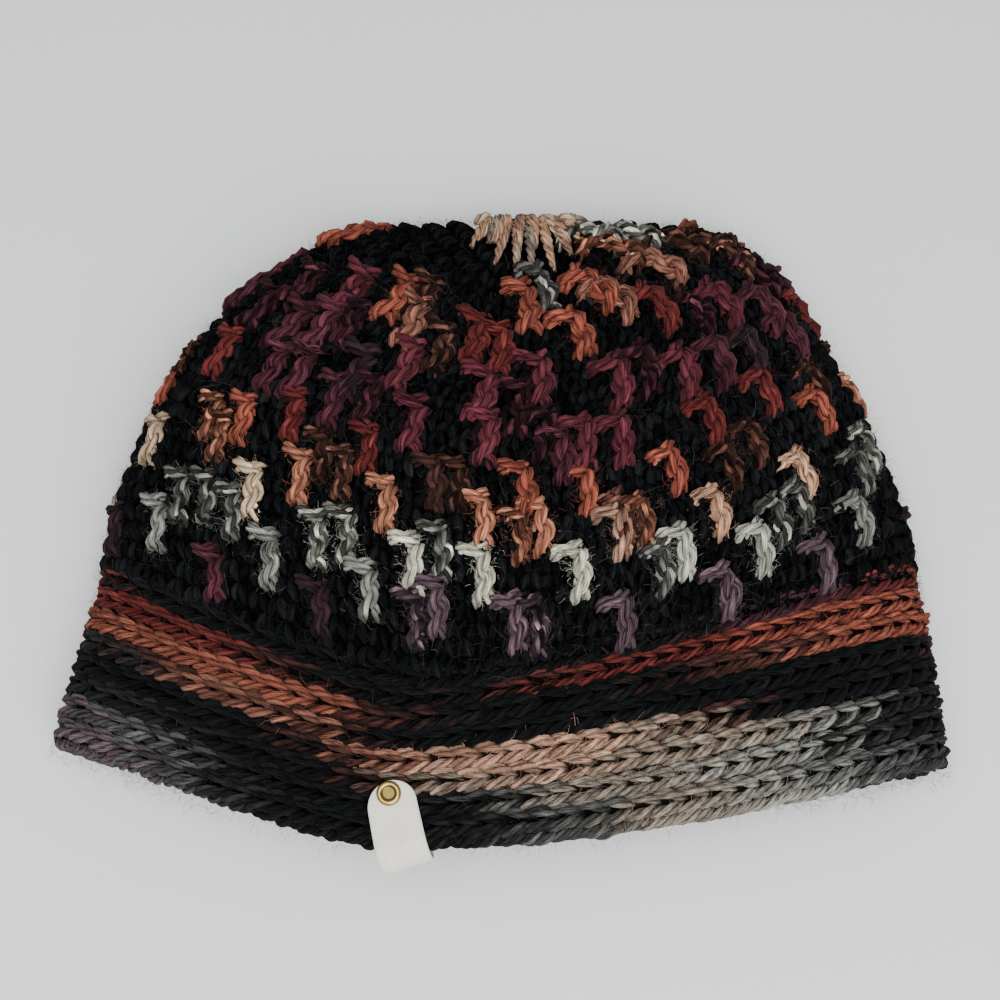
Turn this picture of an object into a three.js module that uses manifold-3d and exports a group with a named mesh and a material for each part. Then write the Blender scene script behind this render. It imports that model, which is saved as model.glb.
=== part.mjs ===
// A crocheted beanie lying on its back, folded flat at both sides, with its open brim towards -Y and its
// gathered crown towards +Y. Millimetres, +Z up. The origin is under the middle of the hat, on the surface it
// lies on. The hat is one soft bag: a camel-stitch brim band, a crown worked upwards from it and drawn shut
// at the top, and a blank folded label that a brass rivet holds to the front of the brim.
import * as THREE from "three";
import { mergeVertices } from "three/addons/utils/BufferGeometryUtils.js";
import Module from "manifold-3d";

const wasm = await Module();
wasm.setup();

// Driving dimensions
const WALL = 5; // thickness of the crocheted fabric
const SEAT_GAP = 0.3; // between pieces that meet
const BRIM_TOP = 0.19; // share of the hat's height where the brim band ends and the crown begins
const RING_STEPS = 48; // points round the hat
const BRIM_ROWS = 5;
const CROWN_ROWS = 18;
const FRONT_FULLNESS = 2 / 2.4; // power of the front's rounded section, under 1 is fuller than an ellipse
const BACK_FLATNESS = 1.35; // how far the back is pressed past the surface before it is trimmed flat
const PLEATS = 12; // soft radial folds where the crown is drawn shut
const PLEAT_DEPTH = 1.6;
const PLEAT_START = 0.66; // share of the height where the pleats begin
const INNER_TOP = 0.955; // share of the height where the inside of the crown closes

const LABEL = { width: 11.5, leaf: 15.1, thickness: 1.2, across: -22.7, tilt: -0.31, standOff: 0.9 };
const RIVET = { capRadius: 2.9, capHeight: 1.1, rim: 0.5, postRadius: 1.3, backHeight: 0.8, up: 12.1 };
const HOLE_CLEARANCE = 0.3;

// One row for each section of the hat, from the brim's edge to the gathered centre:
// rise      share of the hat's height
// foldY     where the two side folds of this round lie
// half      half the width between the folds
// midX      middle of that width
// front     how far the round dips towards -Y in the middle of the front
// back      the same on the back
// low       where across the front the round is lowest, from -1 to 1
// bendL     shape of the dip left of that place: 1 is a straight slope, 2 a round one
// bendR     the same right of it
// skew      how far the round's right end lies below its middle
// topZ      height of the front
// foldZ     height of the side folds
// baseZ     height of the back
// endOn     1 where the folds face +Y, 0 where they face sideways
const COLUMNS = "rise foldY half midX front back low bendL bendR skew topZ foldZ baseZ endOn".split(" ");
const SECTIONS = [
  [0.0, -61.56, 109.4, 0, 25.5, 12, -0.27, 1.3, 1.9, 2.6, 27, 11, 0, 0],
  [0.19, -20.96, 104.6, 2.2, 32, 17, -0.22, 1.45, 1.4, 0.5, 34, 12, 0, 0],
  [0.33, 8.04, 100.2, 2, 38, 24, 0.02, 1.6, 1.6, 0, 41, 13, 0, 0],
  [0.45, 31.34, 92.8, 2, 43, 30, 0.14, 1.75, 1.6, 0, 44, 13.5, 0, 0.1],
  [0.58, 54.24, 81.4, 2.6, 47, 36, 0.14, 1.9, 1.7, 0, 43, 14, 0, 0.3],
  [0.71, 74.64, 66.4, 7, 47.5, 38, 0.08, 1.95, 1.85, 0, 38, 14, 0, 0.6],
  [0.81, 85.64, 53.4, 8.2, 43, 37, 0.02, 1.95, 1.95, 0, 33, 14, 0, 0.85],
  [0.9, 90.24, 35, 8, 32, 30, 0, 2, 2, 0, 28, 14, 0, 1],
  [0.96, 91.44, 16.5, 7.6, 18.5, 18, 0, 2, 2, 0, 22.5, 13, 2, 1],
  [1.0, 91.64, 3.2, 7.4, 3, 3, 0, 2, 2, 0, 16, 13, 10, 1],
].map((row) => Object.fromEntries(COLUMNS.map((name, i) => [name, row[i]])));

// A section at any share of the height: a smooth curve through the table's rows, straight beyond its ends.
function sectionAt(rise) {
  const last = SECTIONS.length - 1;
  let i = 0;
  while (i < last - 1 && rise > SECTIONS[i + 1].rise) i++;
  const [a, b] = [SECTIONS[i], SECTIONS[i + 1]];
  const span = b.rise - a.rise;
  const u = (rise - a.rise) / span;
  const found = {};
  for (const key of Object.keys(a)) {
    const slope = (j) => {
      const low = SECTIONS[Math.max(j - 1, 0)];
      const high = SECTIONS[Math.min(j + 1, last)];
      return (high[key] - low[key]) / (high.rise - low.rise);
    };
    const [from, to] = [slope(i) * span, slope(i + 1) * span];
    if (u < 0) found[key] = a[key] + from * u;
    else
      found[key] =
        a[key] * (2 * u ** 3 - 3 * u ** 2 + 1) +
        from * (u ** 3 - 2 * u ** 2 + u) +
        b[key] * (3 * u ** 2 - 2 * u ** 3) +
        to * (u ** 3 - u ** 2);
  }
  return found;
}

const signedPower = (value, power) => Math.sign(value) * Math.abs(value) ** power;

// How deep a round dips at a place across the hat, from 0 at the side folds to 1 at its lowest place.
function rowShape(across, { low, bendL, bendR }) {
  const [reach, bend] = across < low ? [1 + low, bendL] : [1 - low, bendR];
  return 1 - Math.abs((across - low) / reach) ** bend;
}

// The depth of the gathered folds, which grows towards the drawn centre and fades out on it.
function pleat(rise, angle) {
  const u = THREE.MathUtils.clamp((rise - PLEAT_START) / (1 - PLEAT_START), 0, 1);
  return PLEAT_DEPTH * Math.sin(Math.PI * u ** 1.6) * (0.5 - 0.5 * Math.cos(PLEATS * angle));
}

// A point of the fabric: rise up the hat, angle round it (0 at the right fold, a quarter turn at the front's
// middle) and depth below the outside.
function fabricPoint(rise, angle, depth) {
  const s = sectionAt(rise);
  const onFront = Math.sin(angle) >= 0;
  const inside = depth + (onFront ? pleat(rise, angle) : 0);
  const across = signedPower(Math.cos(angle), FRONT_FULLNESS);
  const away = Math.abs(Math.sin(angle)) ** FRONT_FULLNESS;
  const x = s.midX + (s.half - inside) * across;
  const dip = (onFront ? s.front : s.back) * rowShape(across, s);
  const y = s.foldY - s.skew * across - inside * s.endOn - dip * (1 - (inside * s.endOn) / (s.front + WALL));
  const base = Math.max(s.baseZ, 0) + depth;
  const z = onFront
    ? s.foldZ + (s.topZ - inside - s.foldZ) * away
    : Math.max(base, s.foldZ - (s.foldZ - base) * BACK_FLATNESS * away);
  return new THREE.Vector3(x, y, z);
}

// A closed mesh from points and triangles.
function meshGeometry(points, triangles) {
  const geometry = new THREE.BufferGeometry().setFromPoints(points);
  geometry.setIndex(triangles);
  return geometry;
}

// The two triangles of a four-sided face whose corners are counted anticlockwise from outside.
const quad = (a, b, c, d) => [a, b, c, a, c, d];

// A stretch of the hat's wall from one height to another. Where topRise is 1 the crown closes over the top.
function fabricShell(bottomRise, topRise, rows) {
  const closed = topRise === 1;
  const points = [];
  const triangles = [];
  const start = { outer: [], inner: [] };
  for (const [face, depth, end] of [
    ["outer", 0, topRise],
    ["inner", WALL, closed ? INNER_TOP : topRise],
  ]) {
    for (let i = 0; i <= rows; i++) {
      start[face].push(points.length);
      const rise = bottomRise + ((end - bottomRise) * i) / rows;
      for (let j = 0; j < RING_STEPS; j++) {
        points.push(fabricPoint(rise, (2 * Math.PI * j) / RING_STEPS, depth));
      }
    }
  }
  const ring = (face, i, j) => start[face][i] + (j % RING_STEPS);
  for (let j = 0; j < RING_STEPS; j++) {
    const k = j + 1;
    for (let i = 0; i < rows; i++) {
      const up = i + 1;
      const corners = (face) => [ring(face, i, j), ring(face, i, k), ring(face, up, k), ring(face, up, j)];
      triangles.push(...quad(...corners("outer").reverse()), ...quad(...corners("inner")));
    }
    const edge = (i) => [ring("outer", i, j), ring("outer", i, k), ring("inner", i, k), ring("inner", i, j)];
    triangles.push(...quad(...edge(0)));
    if (!closed) triangles.push(...quad(...edge(rows).reverse()));
  }
  if (closed) {
    for (const face of ["outer", "inner"]) {
      const centre = new THREE.Vector3();
      for (let j = 0; j < RING_STEPS; j++) centre.add(points[ring(face, rows, j)]);
      points.push(centre.divideScalar(RING_STEPS));
      for (let j = 0; j < RING_STEPS; j++) {
        const [a, b] = [ring(face, rows, j), ring(face, rows, j + 1)];
        triangles.push(points.length - 1, ...(face === "outer" ? [b, a] : [a, b]));
      }
    }
  }
  return meshGeometry(points, triangles);
}

// Where the label sits: rise and angle of its fold, and how far each changes for a millimetre on the fabric.
function labelSeat() {
  const brim = sectionAt(0);
  const across = (LABEL.across - brim.midX) / brim.half;
  const angle = Math.acos(signedPower(across, 1 / FRONT_FULLNESS));
  const step = 1e-3;
  const here = fabricPoint(0, angle, 0);
  const rise = step / fabricPoint(step, angle, 0).distanceTo(here);
  const turn = step / fabricPoint(0, angle + step, 0).distanceTo(here);
  return { angle, rise, turn };
}

const seat = labelSeat();

// A point beside the label's fold: millimetres to the right, up the brim and below the outside of the fabric.
function brimPoint(right, up, depth) {
  const [c, s] = [Math.cos(LABEL.tilt), Math.sin(LABEL.tilt)];
  return fabricPoint((right * -s + up * c) * seat.rise, seat.angle - (right * c + up * s) * seat.turn, depth);
}

// The label's folded middle line: up and depth at a distance along the strip, from the front leaf's free end,
// round the brim's edge to the free end inside the hat. out is positive on the strip's outer face.
const turnRadius = WALL / 2 + LABEL.standOff + LABEL.thickness / 2;
const stripLength = 2 * LABEL.leaf + Math.PI * turnRadius;
function stripPoint(distance, out) {
  const radius = turnRadius + out;
  if (distance < LABEL.leaf) return [LABEL.leaf - distance, WALL / 2 - radius];
  const turned = (distance - LABEL.leaf) / turnRadius;
  if (turned < Math.PI) return [-radius * Math.sin(turned), WALL / 2 - radius * Math.cos(turned)];
  return [distance - LABEL.leaf - Math.PI * turnRadius, WALL / 2 + radius];
}

// The label: one strip with rounded ends, folded over the brim's edge.
function labelGeometry() {
  const [endRadius, firstStep, alongSteps, acrossSteps] = [LABEL.width / 2, 0.5, 44, 4];
  const points = [];
  const triangles = [];
  const faces = 2;
  const perRow = acrossSteps + 1;
  for (let i = 0; i <= alongSteps; i++) {
    const distance = firstStep + ((stripLength - 2 * firstStep) * i) / alongSteps;
    const fromEnd = Math.min(distance, stripLength - distance, endRadius);
    const halfWidth = Math.sqrt(endRadius ** 2 - (endRadius - fromEnd) ** 2);
    for (const out of [LABEL.thickness / 2, -LABEL.thickness / 2]) {
      const [up, depth] = stripPoint(distance, out);
      for (let k = 0; k <= acrossSteps; k++) {
        points.push(brimPoint(halfWidth * ((2 * k) / acrossSteps - 1), up, depth));
      }
    }
  }
  const at = (i, face, k) => (i * faces + face) * perRow + k;
  for (let i = 0; i < alongSteps; i++) {
    for (let k = 0; k < acrossSteps; k++) {
      triangles.push(...quad(at(i, 0, k), at(i + 1, 0, k), at(i + 1, 0, k + 1), at(i, 0, k + 1)));
      triangles.push(...quad(at(i, 1, k), at(i, 1, k + 1), at(i + 1, 1, k + 1), at(i + 1, 1, k)));
    }
    const side = (k) => [at(i, 0, k), at(i, 1, k), at(i + 1, 1, k), at(i + 1, 0, k)];
    triangles.push(...quad(...side(0)), ...quad(...side(acrossSteps).reverse()));
  }
  for (let k = 0; k < acrossSteps; k++) {
    const end = (i) => [at(i, 0, k), at(i, 0, k + 1), at(i, 1, k + 1), at(i, 1, k)];
    triangles.push(...quad(...end(0)), ...quad(...end(alongSteps).reverse()));
  }
  return meshGeometry(points, triangles);
}

// The rivet's axis through the label's front leaf, the brim and the leaf inside, square to the fabric there.
const labelBack = WALL + LABEL.standOff + LABEL.thickness;
const rivetHead = brimPoint(0, RIVET.up, -LABEL.standOff - LABEL.thickness);
const rivetAxis = brimPoint(1, RIVET.up, 0)
  .sub(brimPoint(-1, RIVET.up, 0))
  .cross(brimPoint(0, RIVET.up + 1, 0).sub(brimPoint(0, RIVET.up - 1, 0)))
  .normalize();
const rivetGrip = rivetHead.clone().sub(brimPoint(0, RIVET.up, labelBack)).dot(rivetAxis);
const rivetFoot = rivetHead.clone().addScaledVector(rivetAxis, -rivetGrip);
const rivetTurn = new THREE.Quaternion().setFromUnitVectors(new THREE.Vector3(0, 1, 0), rivetAxis);

// The rivet as a turned piece: a dimpled cap outside, a post, and a flat cap inside.
function rivetGeometry() {
  const [front, back] = [rivetGrip + SEAT_GAP, -SEAT_GAP];
  const dimple = RIVET.capHeight / 2;
  const profile = [
    [0, back - RIVET.backHeight],
    [RIVET.capRadius - RIVET.rim, back - RIVET.backHeight],
    [RIVET.capRadius, back],
    [RIVET.postRadius, back],
    [RIVET.postRadius, front],
    [RIVET.capRadius, front],
    [RIVET.capRadius, front + RIVET.rim],
    [RIVET.capRadius - RIVET.rim, front + RIVET.capHeight],
    [RIVET.postRadius + RIVET.rim, front + RIVET.capHeight],
    [RIVET.postRadius, front + dimple],
    [0, front + dimple],
  ];
  const turned = new THREE.LatheGeometry(
    profile.map(([r, h]) => new THREE.Vector2(r, h)),
    20,
  );
  turned.applyQuaternion(rivetTurn);
  turned.translate(...rivetFoot.toArray());
  return turned;
}

// A straight pin along the rivet's axis, to cut the hole that its post goes through.
function postHole() {
  const [radius, length] = [RIVET.postRadius + HOLE_CLEARANCE, 40];
  const pin = new THREE.CylinderGeometry(radius, radius, length, 20);
  pin.applyQuaternion(rivetTurn);
  pin.translate(...rivetFoot.clone().lerp(rivetHead, 0.5).toArray());
  return pin;
}

function toSolid(geometry) {
  const bare = geometry.clone();
  bare.deleteAttribute("normal");
  bare.deleteAttribute("uv");
  const merged = mergeVertices(bare, 1e-4);
  return new wasm.Manifold(
    new wasm.Mesh({
      numProp: 3,
      vertProperties: merged.attributes.position.array,
      triVerts: new Uint32Array(merged.index.array),
    }),
  );
}

function cut(geometry, tool) {
  const made = toSolid(geometry).subtract(toSolid(tool)).getMesh();
  return new THREE.BufferGeometry()
    .setAttribute("position", new THREE.BufferAttribute(made.vertProperties, 3))
    .setIndex(new THREE.BufferAttribute(made.triVerts, 1));
}

const yarn = (color) => new THREE.MeshStandardMaterial({ color, roughness: 0.95, metalness: 0 });
const leatherette = new THREE.MeshStandardMaterial({ color: 0xe9e4da, roughness: 0.6, metalness: 0 });
const brass = new THREE.MeshStandardMaterial({ color: 0xb8934a, roughness: 0.3, metalness: 1 });

const hat = new THREE.Group();
function addPiece(name, geometry, material) {
  const mesh = new THREE.Mesh(geometry, material);
  mesh.name = name;
  hat.add(mesh);
}

const gapRise = 1.6 * SEAT_GAP * seat.rise; // rounds that slope across the hat lie closer than this
addPiece("brim_band", cut(fabricShell(0, BRIM_TOP - gapRise, BRIM_ROWS), postHole()), yarn(0x6d4a40));
addPiece("crown", fabricShell(BRIM_TOP, 1, CROWN_ROWS), yarn(0x1a1618));
addPiece("label_tab", cut(labelGeometry(), postHole()), leatherette);
addPiece("label_rivet", rivetGeometry(), brass);

export default hat;
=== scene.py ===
"""A crocheted beanie lying on its back, folded flat at both sides: its yarn, stitches, label and rivet.

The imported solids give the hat's size and place. The same rounds are worked out again here, and each
stitch is a strand of yarn laid on them. Lengths are in millimetres until a mesh is made.
"""

import math

import bpy
import numpy as np
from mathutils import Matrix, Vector


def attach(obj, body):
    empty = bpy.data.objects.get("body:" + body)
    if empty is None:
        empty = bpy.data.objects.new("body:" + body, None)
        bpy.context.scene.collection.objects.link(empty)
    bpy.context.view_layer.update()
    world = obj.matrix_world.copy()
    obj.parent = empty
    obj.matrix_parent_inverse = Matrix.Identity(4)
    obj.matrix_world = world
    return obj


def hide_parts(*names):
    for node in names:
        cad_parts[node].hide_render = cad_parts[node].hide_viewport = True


MM = 0.001
RANDOM = np.random.default_rng(11)

# The fabric, as in the part's source
WALL = 5.0
FRONT_FULLNESS = 2 / 2.4
BACK_FLATNESS = 1.35
PLEATS, PLEAT_DEPTH, PLEAT_START = 12, 1.6, 0.66
COLUMNS = "rise foldY half midX front back low bendL bendR skew topZ foldZ baseZ endOn".split()
SECTIONS = np.array(
    [
        [0.0, -61.56, 109.4, 0, 25.5, 12, -0.27, 1.3, 1.9, 2.6, 27, 11, 0, 0],
        [0.19, -20.96, 104.6, 2.2, 32, 17, -0.22, 1.45, 1.4, 0.5, 34, 12, 0, 0],
        [0.33, 8.04, 100.2, 2, 38, 24, 0.02, 1.6, 1.6, 0, 41, 13, 0, 0],
        [0.45, 31.34, 92.8, 2, 43, 30, 0.14, 1.75, 1.6, 0, 44, 13.5, 0, 0.1],
        [0.58, 54.24, 81.4, 2.6, 47, 36, 0.14, 1.9, 1.7, 0, 43, 14, 0, 0.3],
        [0.71, 74.64, 66.4, 7, 47.5, 38, 0.08, 1.95, 1.85, 0, 38, 14, 0, 0.6],
        [0.81, 85.64, 53.4, 8.2, 43, 37, 0.02, 1.95, 1.95, 0, 33, 14, 0, 0.85],
        [0.9, 90.24, 35, 8, 32, 30, 0, 2, 2, 0, 28, 14, 0, 1],
        [0.96, 91.44, 16.5, 7.6, 18.5, 18, 0, 2, 2, 0, 22.5, 13, 2, 1],
        [1.0, 91.64, 3.2, 7.4, 3, 3, 0, 2, 2, 0, 16, 13, 10, 1],
    ]
)
INNER_TOP = 0.955  # where the inside of the crown closes
TABLE_CLEARANCE = 0.05  # stitches under the hat are pressed flat this far above the table

# Stitches. A place on the hat is its rise, from 0 at the brim's edge to 1 at the crown's end, and its
# share of the way round, from the front's middle to the right. A path on it is (right, up, out).
BRIM_TOP = 0.19  # one braid row stands above it
ROW_STEP = 0.0275  # rise from one braid row of the brim to the next
BRAID = {"pitch": 6.1, "start": (-5.2, 2.35), "end": (3.8, 0.3), "steps": 6, "tuck": 1.55, "bow": 0.35}
BRAID_SHIFT = 0.37  # of a stitch, from one braid row to the next
SOFT_ROWS = 2  # the top braid rows, which lie flatter
SOFT_BRAID = {"swell": 0.9, "radius": 1.1}
FULL_BRAID = {"swell": 1.5, "radius": 1.4}
EDGE = {"pitch": 3.1, "steps": 9, "slant": 3.8, "up": 2.6, "drop": 1.8, "half_depth": 1.9, "radius": 1.2}
INSIDE = {"pitch": 7.8, "from": 0.03, "to": 0.33, "step": 0.027}
INSIDE_LEG = {"start": (-4.2, 1.9), "end": (4.2, 0.5), "steps": 5, "swell": 0.7, "tuck": 1.3, "radius": 1.4}
GROUND = {"pitch": 5.3, "from": 0.232, "to": 0.962, "step": 0.0238}
GROUND_LEG = {"start": (2.3, 2.6), "end": (0.6, -2.7), "steps": 5, "swell": 1.5, "tuck": 1.9}
GROUND_RADIUS = 1.45
COLUMN = {"radius": 1.55, "turns": 1.1, "spread": 1.1}
COLUMN_LENGTH, COLUMN_BOW = 12.8, 0.5
BAR = {"radius": 1.4, "turns": 0.6, "spread": 0.9}
BAR_LENGTH, BAR_OVERHANG = 8.0, 1.2
FRONT_STEPS, BACK_STEPS = (13, 8), (8, 5)  # points along a column and a bar
CREASE_SHADE = 0.25  # painted shade: how light a ply's colour is made where it meets its neighbours, in the crease between plies
UPPER_GROWTH = 0.42  # how much longer the overlaid stitches are in the upper half
PLY_THICKNESS = {3: 0.55, 4: 0.46}  # by the number of plies, for a yarn of radius 1
PLY_OFFSET = 0.54

# Loose fibres
FIBRE_STEPS, FIBRE_HALF_WIDTH = 3, 0.026
BRIM_FIBRES, CROWN_FIBRES, FOLD_FIBRES, STITCH_FIBRES = 9000, 11000, 5000, 240
FUZZ_TOP = 0.99  # fibres end here
FUZZY_BELOW = 0.88  # overlaid stitches above this have none of their own

# The ridge of the crown's drawn-up end: where it runs, and its fingers in a layer
RIDGE = {"ends": (-3.0, 20.0), "pole": 7.4, "y": 91.9, "z": 15.0, "fall": 0.011, "fingers": 9}
FINGER_LAYERS = ((0.945, 1.2), (0.962, 1.8))  # rise of the fingers' ends, and how far they bulge
FINGER_RADIUS, FINGER_TAPER, FINGER_STEPS = 1.95, 0.65, 9
FINGER_SHADES = ["peach_cream", "warm_cream", "beige", "warm_cream", "taupe", "peach_cream", "beige"]

# The label's folded strip and its rivet, as in the part's source
LABEL = {"width": 11.5, "leaf": 15.1, "thickness": 1.2, "across": -22.7, "tilt": -0.31, "stand_off": 0.9}
TURN_RADIUS = WALL / 2 + LABEL["stand_off"] + LABEL["thickness"] / 2
STRIP_LENGTH = 2 * LABEL["leaf"] + math.pi * TURN_RADIUS
RIVET_UP = 12.1
# The rivet's outline: radius, and height over the label's outer face
RIVET_OUTLINE = [
    (0, 0.62), (0.7, 0.6), (1.25, 0.55), (1.5, 0.62), (1.75, 0.95), (2.1, 1.1), (2.5, 1.0),
    (2.78, 0.7), (2.88, 0.4), (2.8, 0.12), (2.55, 0.05), (1.35, 0.05), (1.3, -9.25), (2.1, -9.25),
    (2.35, -9.45), (2.3, -9.8), (1.8, -10.0), (0, -10.0),
]
# The brass's brightness at some radii: dull in the dish, bright on the rolled edge
GRIME_RADII, GRIME = (0, 1.3, 1.6, 2.1, 2.9), (0.4, 0.36, 0.25, 1.0, 0.6)

# The camera that gives the photograph's framing, in a square picture. Its slant is an estimate.
CAMERA = {"elevation": 66.0, "distance": 440.0, "look_at": (0.0, 6.14, 15.0), "lens": 61.2}


def linear(red, green, blue):
    """A colour as the screen shows it, from 0 to 255, as linear light."""
    c = np.array([red, green, blue]) / 255
    return np.where(c <= 0.04045, c / 12.92, ((c + 0.055) / 1.055) ** 2.4)


YARN = {
    "black": linear(15, 16, 17),
    "charcoal": linear(36, 36, 36),
    "dark_grey": linear(72, 72, 70),
    "grey": linear(124, 123, 116),
    "pale_grey": linear(164, 164, 150),
    "cream": linear(186, 183, 163),
    "warm_cream": linear(190, 164, 136),
    "taupe": linear(126, 113, 99),
    "beige": linear(158, 121, 101),
    "peach_cream": linear(184, 142, 114),
    "peach": linear(164, 106, 83),
    "tan": linear(124, 82, 67),
    "coral": linear(132, 69, 55),
    "copper": linear(116, 66, 52),
    "red": linear(98, 41, 39),
    "brick": linear(92, 39, 36),
    "brown": linear(58, 35, 31),
    "rust": linear(92, 58, 48),
    "magenta": linear(88, 40, 48),
    "plum": linear(72, 36, 45),
    "dark_plum": linear(45, 29, 34),
    "mauve": linear(88, 70, 77),
}

LABEL_COLOUR = linear(214, 211, 197)
BRASS = linear(182, 156, 88)

# The variegated yarn's colours along each braid row of the brim, top row first. A number is the place in
# millimetres round the hat, from the front's middle to the right; the colours fade from one to the next.
BRIM_RUNS = [
    "-117 brick -108 black 42 black 58 dark_plum 82 plum "
    "104 brick 117 brick 170 brown 230 black 290 black",
    "-117 brick -75 brick -58 brown -42 black -10 black 0 brown "
    "14 brick 48 brick 75 coral 117 coral 180 coral 240 brown",
    "-117 copper -55 copper -44 copper -32 brown -15 black 34 black "
    "48 brown 66 brown 80 copper 104 coral 117 coral",
    "-117 black -100 charcoal -86 brown -72 tan -62 brown -52 tan "
    "-44 brown -30 black 108 black 117 brown 170 red 240 plum",
    "-117 black -54 black -42 brown -28 tan -12 beige 22 beige "
    "38 taupe 50 brown 62 black 117 black 200 black 260 charcoal",
    "-117 black -92 charcoal -72 black -38 black -26 brown -14 taupe "
    "2 beige 34 taupe 62 taupe 76 grey 92 charcoal 117 black",
    "-117 mauve -104 dark_grey -86 dark_grey -72 charcoal -56 black -12 black 4 dark_grey "
    "16 taupe 70 grey 86 charcoal 117 black 200 grey 260 mauve",
    "-117 dark_grey -102 mauve -84 dark_grey -68 charcoal -50 black -15 black "
    "2 charcoal 22 dark_grey 36 taupe 70 grey 86 dark_grey 117 charcoal",
]
PLY_SHIFT = 0.018  # the variegated yarn's plies change colour this share of the way round apart
RING = 455.0  # the brim's way round, in the same millimetres

# The overlaid stitches of the front, by colour: millimetres across from the front's middle, and rise at
# the column's middle. Those of the back repeat the pattern half way round.
OVERLAY = {
    "mauve": [(-17, 0.298), (2, 0.277), (28, 0.25), (81, 0.252), (54, 0.253)],
    "grey": [(-93, 0.294), (-60, 0.301), (-34, 0.3), (94, 0.297)],
    "pale_grey": [(43, 0.34), (64, 0.302)],
    "cream": [(-23, 0.348), (-6, 0.351), (17, 0.351)],
    "warm_cream": [(-66, 0.376), (-101, 0.395)],
    "beige": [(27, 0.408)],
    "peach_cream": [(53, 0.386), (79, 0.388)],
    "peach": [(-53, 0.419), (-30, 0.417), (-6, 0.432), (8, 0.43)],
    "tan": [(-34, 0.748), (26, 0.84), (44, 0.835)],
    "coral": [
        (90, 0.46), (-72, 0.466), (42, 0.484), (4, 0.494), (19, 0.491), (13, 0.81),
        (20, 0.873), (-1, 0.873), (-70, 0.815), (-41, 0.775),
    ],
    "red": [
        (-57, 0.505), (-36, 0.495), (54, 0.535), (73, 0.53), (-85, 0.547), (39, 0.775),
        (-8, 0.772), (-15, 0.785),
    ],
    "brown": [(-18, 0.474)],
    "magenta": [
        (-25, 0.567), (-6, 0.58), (18, 0.579), (28, 0.567), (-32, 0.665), (-10, 0.665),
        (25, 0.68), (46, 0.635), (3, 0.715), (-56, 0.735), (62, 0.7),
    ],
    "plum": [
        (-75, 0.26), (-67, 0.56), (-47, 0.552), (13, 0.558), (88, 0.585), (-59, 0.573),
        (-68, 0.63), (-59, 0.652), (79, 0.645), (-93, 0.65), (59, 0.62),
    ],
    "dark_plum": [(-109, 0.271), (-46, 0.265), (-44, 0.615), (71, 0.6)],
}
MARL = (0.9, 0.12, 0.45, 0.2)  # how light the plies of a marled stitch are
# Marled stitches, beside the clear ones
MARLED = {
    "grey": [
        (-87, 0.335), (-79, 0.345), (-71, 0.34), (-16, 0.372), (38, 0.322), (70, 0.335),
        (98, 0.36), (77, 0.345), (4, 0.91),
    ],
    "pale_grey": [(27, 0.935), (40, 0.9), (-47, 0.344), (-40, 0.36), (104, 0.385)],
    "mauve": [(-22, 0.279), (7, 0.268)],
    "peach": [(-82, 0.45), (3, 0.41), (33, 0.415), (-78, 0.43), (33, 0.9)],
    "rust": [
        (-48, 0.458), (66, 0.466), (58, 0.45), (-12, 0.48), (92, 0.5), (55, 0.835),
        (66, 0.81), (112, 0.52), (-33, 0.8), (-24, 0.73),
    ],
    "tan": [(72, 0.757), (-42, 0.445), (28, 0.43)],
    "plum": [
        (0, 0.65), (-72, 0.69), (-52, 0.68), (33, 0.68), (-38, 0.58), (8, 0.6),
        (82, 0.7), (-80, 0.63), (52, 0.72),
    ],
}
# More overlaid stitches on the side folds, which the photograph doesn't show: share, and rise
FOLDS = {
    "pale_grey": [(0.282, 0.345), (0.738, 0.33)],
    "peach": [(0.252, 0.462), (0.742, 0.44)],
    "coral": [(0.281, 0.505), (0.762, 0.475)],
    "red": [(0.252, 0.602), (0.728, 0.545)],
    "magenta": [(0.274, 0.74), (0.742, 0.72)],
}


def section_at(rise):
    """The sections' columns at any rise: smooth curves through the rows, straight below the first."""
    knots = SECTIONS[:, 0]
    i = np.clip(np.searchsorted(knots[1:-1], rise), 0, len(knots) - 2)
    low = np.maximum(np.arange(len(knots)) - 1, 0)
    high = np.minimum(np.arange(len(knots)) + 1, len(knots) - 1)
    slopes = (SECTIONS[high] - SECTIONS[low]) / (knots[high] - knots[low])[:, None]
    span = (knots[i + 1] - knots[i])[..., None]
    u = (np.asarray(rise)[..., None] - knots[i][..., None]) / span
    start, end = slopes[i] * span, slopes[i + 1] * span
    curve = (
        SECTIONS[i] * (2 * u**3 - 3 * u**2 + 1)
        + start * (u**3 - 2 * u**2 + u)
        + SECTIONS[i + 1] * (3 * u**2 - 2 * u**3)
        + end * (u**3 - u**2)
    )
    values = np.where(u < 0, SECTIONS[i] + start * u, curve)
    return {name: values[..., k] for k, name in enumerate(COLUMNS)}


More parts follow.
